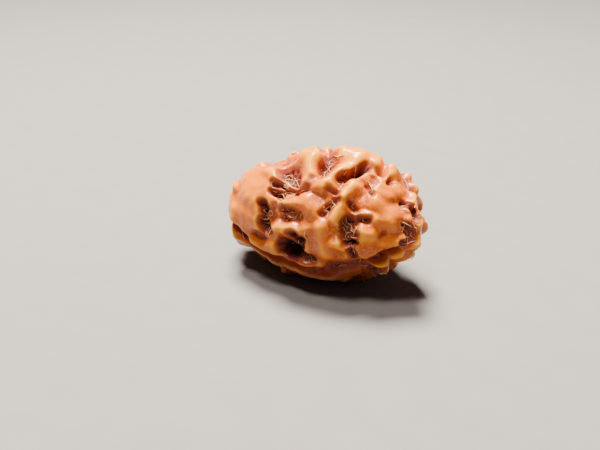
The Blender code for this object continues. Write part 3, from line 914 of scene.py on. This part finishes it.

# %% [markdown]
# ## The fibres that the photograph shows
# Most wisps in the photograph lie in the pits, and a few cross from rim to rim. Each is drawn
# through three or four places. Its middle is lifted off the skin, so it casts a fine shadow.

# %% The fibres listed one by one
# Tone (0 straw, 1 stained), lift of the middle in millimetres, and the places (along, around)
DRAWN_FIBRES = (
    # tangle in the upper left pit
    (0, 0.13, ((-2.42, 29), (-2.06, 30), (-1.4, 41), (-0.76, 46))),
    (0, 0.15, ((-1.92, 24), (-1.16, 28), (-1.49, 30), (-0.62, 38))),
    (0, 0.14, ((-1.58, 41), (-1.78, 32), (-1.31, 34), (-0.89, 32))),
    (1, 0.15, ((-0.95, 46), (-0.68, 42), (-0.76, 34), (-0.33, 32))),
    (0, 0.16, ((-1.79, 25), (-0.68, 31), (-0.54, 34), (0.47, 45))),
    (0, 0.12, ((-1.52, 44), (-0.97, 47), (-0.48, 46), (-0.2, 49))),
    (1, 0.11, ((-2.18, 30), (-2.02, 25), (-1.52, 27))),
    (0, 0.17, ((-1.67, 32), (-1.15, 44), (-0.68, 48))),
    # pale fibres across the crack under it
    (0, 0.09, ((-2.56, 51), (-1.96, 51), (-1.34, 51), (-0.7, 49),
        (0, 51), (0.59, 48), (1.34, 46), (1.69, 45))),
    (0, 0.09, ((-1.9, 46), (-1.33, 51), (-0.56, 58))),
    (0, 0.13, ((-1.46, 58), (-0.92, 60), (-0.58, 62))),
    (0, 0.1, ((-2.63, 50), (-2.13, 50), (-1.76, 48), (-1.1, 49))),
    # web between the two holes of the left slot
    (0, 0.19, ((-3.41, 77), (-3.18, 78), (-2.41, 76))),
    (0, 0.17, ((-3.33, 80), (-3.17, 77), (-2.98, 72))),
    (0, 0.18, ((-2.73, 94), (-2.35, 91), (-1.44, 83))),
    (0, 0.14, ((-2.47, 96), (-2.86, 94), (-2.99, 91))),
    (0, 0.18, ((-1.82, 82), (-2.87, 89), (-2.87, 92))),
    (0, 0.2, ((-3.35, 83), (-3.09, 82), (-2.2, 81))),
    (0, 0.17, ((-3.19, 70), (-3, 73), (-3.19, 79))),
    # in the ring-shaped pit
    (0, 0.12, ((-0.24, 65), (0.12, 66), (0.62, 69))),
    (0, 0.11, ((0.38, 73), (0.62, 70), (0.98, 68))),
    (0, 0.08, ((1.1, 68), (1.36, 70), (1.26, 74))),
    (0, 0.12, ((-0.37, 70), (0.13, 72), (0.38, 72))),
    # in the small pits of the middle
    (0, 0.11, ((3.79, 51), (4.14, 53), (4.67, 58))),
    (0, 0.1, ((4.91, 54), (4.53, 58), (4.25, 62))),
    (0, 0.08, ((3.55, 61), (3.96, 63), (3.96, 68))),
    # at the largest pit
    (0, 0.12, ((1.95, 82), (1.96, 86), (1.84, 91))),
    (0, 0.1, ((1.84, 111), (2.04, 114), (2.52, 114))),
    (0, 0.12, ((1.6, 110), (1.83, 112), (2.29, 113))),
    (0, 0.12, ((1.13, 108), (1.47, 111), (1.8, 114))),
    # tangle in the large fibrous pit
    (1, 0.16, ((6.03, 70), (6.34, 74), (6.41, 77), (6.55, 80))),
    (0, 0.18, ((6.43, 73), (6.8, 76), (7.23, 78))),
    (1, 0.14, ((5.41, 88), (5.86, 91), (6.19, 89))),
    (1, 0.17, ((6.01, 79), (5.74, 86), (5.75, 91))),
    (0, 0.14, ((6.86, 74), (6.63, 78), (6.38, 84))),
    (1, 0.18, ((6.27, 97), (6.43, 107), (6.16, 113))),
    (0, 0.17, ((5.52, 76), (5.77, 78), (5.73, 84))),
    (1, 0.12, ((6.16, 84), (6.4, 86), (6.9, 84))),
    (0, 0.12, ((5.58, 65), (5.88, 68), (5.79, 73))),
    (1, 0.13, ((5.58, 80), (5.93, 82), (6.32, 79))),
    # under the bright ridge
    (0, 0.13, ((4.06, 36), (4.56, 37), (5.12, 36))),
    (0, 0.1, ((4.2, 30), (4.47, 28), (4.97, 39))),
    (0, 0.11, ((4.5, 27), (4.83, 24), (5.36, 33))),
    # in the slanting pit at the top
    (1, 0.1, ((2.47, 32), (2.24, 18), (2.29, 14))),
    (0, 0.11, ((2.36, 19), (2.41, 14), (2.91, 14))),
    (1, 0.1, ((2.42, 13), (2.68, 12), (3.18, 12))),
    (0, 0.1, ((2.22, 5), (2.95, 10), (3.46, 8))),
    (1, 0.11, ((1.9, 15), (2.4, 15), (3.38, 31))),
    # in the rough pit beside the pole
    (0, 0.11, ((9.82, 60), (10.15, 60), (10.34, 67))),
    (0, 0.13, ((10.03, 52), (10.11, 66), (9.92, 82))),
    (0, 0.11, ((10.3, 57), (10.45, 69), (10.49, 87))),
    (0, 0.13, ((9.77, 69), (10.14, 78), (10.29, 90))),
    (0, 0.12, ((10.35, 80), (10.36, 93), (10.39, 98))),
    (0, 0.13, ((10.19, 48), (10.54, 37), (10.57, 48))),
    (0, 0.11, ((10.34, 52), (10.57, 48), (10.62, 61))),
    (0, 0.09, ((9.93, 88), (10.16, 94), (10.32, 95))),
    # along the seams and the crack
    (0, 0.12, ((-7.25, 101), (-6.7, 104), (-6.21, 108))),
    (0, 0.13, ((7.72, -10), (7.81, -32), (8.51, -30), (9.48, -4))),
    (0, 0.13, ((6.31, 22), (6.76, 24), (7.31, 33))),
)
print(len(DRAWN_FIBRES), "fibres were placed by eye")

# %% [markdown]
# ## From places to thin curves
# A fibre is a smooth curve with a round section that thins towards its ends. The curves that are
# listed one by one get a thickness in turn. Curves that would leave the solid's box are left out.

# %% Lay the fibres
FIBRE_SEED = 5
FIBRE_RADII = (0.034, 0.026, 0.045, 0.03)
FIBRE_CURL = 0.07
FIBRE_CLEARANCE = 0.02
THIN_END = 0.45
FIBRE_LOWEST = np.array(cad_low) + np.array((-0.2, -0.2, 0.15)) * MM
FIBRE_HIGHEST = np.array(cad_high) + np.array((0.2, 0.2, 0.1)) * MM

wisps = bpy.data.curves.new("pulp_fibres", "CURVE")
wisps.dimensions = "3D"
wisps.bevel_depth = MM
wisps.bevel_resolution = 0
wisps.resolution_u = 3
wisps.use_fill_caps = True


def add_fibre(points, radius, tone):
    """One fibre as a thin smooth spline, in millimetres. It stays in the solid's box."""
    room = np.array(points) * MM
    if (room < FIBRE_LOWEST).any() or (room > FIBRE_HIGHEST).any():
        return
    spline = wisps.splines.new("NURBS")
    spline.points.add(len(points) - 1)
    for index, point in enumerate(room):
        taper = THIN_END + (1 - THIN_END) * math.sin(math.pi * (index + 0.5) / len(points))
        spline.points[index].co = (*point, 1)
        spline.points[index].radius = radius * taper
    spline.order_u = 3
    spline.use_endpoint_u = True
    spline.material_index = tone


draw = random.Random(FIBRE_SEED)
for index, (tone, lift, places) in enumerate(DRAWN_FIBRES):
    knots = []
    for step, (along, around) in enumerate(places):
        spot, normal = skin_spot(along, around)
        arch = lift * math.sin(math.pi * step / (len(places) - 1))
        knots.append(spot + normal * (FIBRE_CLEARANCE + arch))
    points = []
    for knot, next_knot in zip(knots, knots[1:]):
        for part in (0, 1 / 3, 2 / 3):
            curl = np.array([draw.uniform(-FIBRE_CURL, FIBRE_CURL) for _ in range(3)])
            points.append(knot + (next_knot - knot) * part + curl)
    add_fibre(points + [knots[-1]], FIBRE_RADII[index % len(FIBRE_RADII)], tone)
print(len(wisps.splines), "fibres lie on the skin")

# %% [markdown]
# ## More wisps and crumbs
# Between the drawn ones there are many short wisps, on the hidden sides too. A wisp starts
# somewhere in a pit, turns a little at each step and ends after about a millimetre. Crumbs of dry
# pulp are small lumps pressed into the floors. Both are drawn at random with a fixed seed.

# %% Grow the wisps
FIBRE_STEP = 0.16
WISPS_PER_MM = (0.9, 2.4)
SHALLOWEST_PIT = 0.42
FARTHEST_ALONG = 10.6
DEGREES_PER_MM = 9


def wisp_points(draw, along, around, steps, arch):
    """Points of one wandering wisp that lifts off the skin by up to arch millimetres."""
    heading = draw.uniform(0, math.tau)
    points = []
    for step in range(steps + 1):
        spot, normal = skin_spot(along, around)
        rise = arch * math.sin(math.pi * step / steps) * draw.uniform(0.7, 1.3)
        points.append(spot + normal * (FIBRE_CLEARANCE + rise))
        heading += draw.gauss(0, 0.9)
        reach = max(1.5, HALF_WIDTH * math.sqrt(max(0.05, 1 - (along / HALF_LENGTH) ** 2)))
        along += FIBRE_STEP * math.cos(heading)
        along = max(-FARTHEST_ALONG, min(FARTHEST_ALONG, along))
        around += math.degrees(FIBRE_STEP * math.sin(heading) / reach)
    return points


def places_in_pit(draw, pit, count):
    """Random places in one pit, given as a stroke."""
    along, around, to_along, to_around, half_width = pit[:5]
    spread = half_width * 0.7
    for _ in range(count):
        part = draw.random()
        off_along, off_around = draw.uniform(-spread, spread), draw.uniform(-spread, spread)
        yield (along + (to_along - along) * part + off_along,
               around + (to_around - around) * part + off_around * DEGREES_PER_MM)


def pit_run(pit):
    """The length of a pit with its rounded ends, in millimetres."""
    half_width = pit[4]
    return np.linalg.norm(skin_point(*pit[:2]) - skin_point(*pit[2:4])) + half_width


for rate, pits in zip(WISPS_PER_MM, (list(FRONT_HOLLOWS), more_hollows)):
    for pit in [pit for pit in pits if pit[5] > SHALLOWEST_PIT]:
        for along, around in places_in_pit(draw, pit, round(rate * pit_run(pit))):
            points = wisp_points(draw, along, around, draw.randint(4, 9), draw.uniform(0.02, 0.16))
            add_fibre(points, draw.choice((0.02, 0.026, 0.034)), draw.choice((0, 0, 1)))
fibres = bpy.data.objects.new("pulp_fibres", wisps)
bpy.context.collection.objects.link(fibres)
print(len(wisps.splines), "fibres and wisps")

# %% [markdown]
# ## Dried pulp
# Dry fruit fibre is matt and lets some light through. Most wisps are straw coloured and some are
# stained red brown.

# %% Dress the fibres
def dried_pulp(name, pale, dark):
    """Matt dry fibre: pale straw tones that stand out against the dark pits."""
    material, tree = new_material(name)
    place = add_node(tree, "ShaderNodeTexCoord").outputs["Object"]
    tone = mixed(tree, stepped(tree, mottled(tree, place, 1800.0, 2.0), 0.35, 0.65), pale, dark)
    shader = add_node(tree, "ShaderNodeBsdfPrincipled", {
        "Base Color": tone, "Roughness": 0.62, "Subsurface Weight": 0.2,
        "Subsurface Radius": (0.9, 0.5, 0.3), "Subsurface Scale": 0.2 * MM})
    add_node(tree, "ShaderNodeOutputMaterial", {"Surface": shader.outputs["BSDF"]})
    return material


wisps.materials.append(dried_pulp("dried_pulp", "#D9AE78", "#A9744A"))
wisps.materials.append(dried_pulp("stained_pulp", "#9C5A3E", "#6B352B"))
bpy.ops.object.select_all(action="DESELECT")
fibres.select_set(True)
bpy.context.view_layer.objects.active = fibres
bpy.ops.object.convert(target="MESH")
bpy.ops.object.shade_smooth()
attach(fibres, "root")
print("the fibres have", len(fibres.data.polygons), "faces")

# %% [markdown]
# ## Crumbs in the pits
# Crumbs are lumps of a fifth of a millimetre, half sunk in the floors. They are small ico spheres
# added to an empty mesh in edit mode, each squashed and turned another way.

# %% Press crumbs into the floors
CRUMBS_PER_MM = 2.6
CRUMB_SIZES = (0.05, 0.14)

bpy.ops.object.select_all(action="DESELECT")
crumbs = bpy.data.objects.new("pulp_crumbs", bpy.data.meshes.new("pulp_crumbs"))
bpy.context.collection.objects.link(crumbs)
crumbs.select_set(True)
bpy.context.view_layer.objects.active = crumbs
bpy.ops.object.mode_set(mode="EDIT")
for pit in [pit for pit in list(FRONT_HOLLOWS) + more_hollows if pit[5] > SHALLOWEST_PIT]:
    for along, around in places_in_pit(draw, pit, round(CRUMBS_PER_MM * pit_run(pit))):
        spot, normal = skin_spot(along, around)
        if spot[2] * MM < FIBRE_LOWEST[2] + 0.1 * MM:
            continue
        size = draw.uniform(*CRUMB_SIZES)
        turn = (draw.uniform(0, 3), draw.uniform(0, 3), 0)
        squash = (1, draw.uniform(0.5, 0.9), 0.6)
        bpy.ops.mesh.primitive_ico_sphere_add(
            subdivisions=2, radius=size * MM, location=tuple((spot + normal * size * 0.3) * MM),
            rotation=turn, scale=squash)
bpy.ops.object.mode_set(mode="OBJECT")
lumps = vertex_array(crumbs.data)
lumps += 0.05 * MM * noise_vectors(lumps / MM, 0.12)
move_vertices(crumbs.data, lumps)
crumbs.data.materials.append(dried_pulp("crumbled_pulp", "#B4683C", "#5E2A20"))
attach(crumbs, "root")
print("the crumbs have", len(crumbs.data.polygons), "faces")
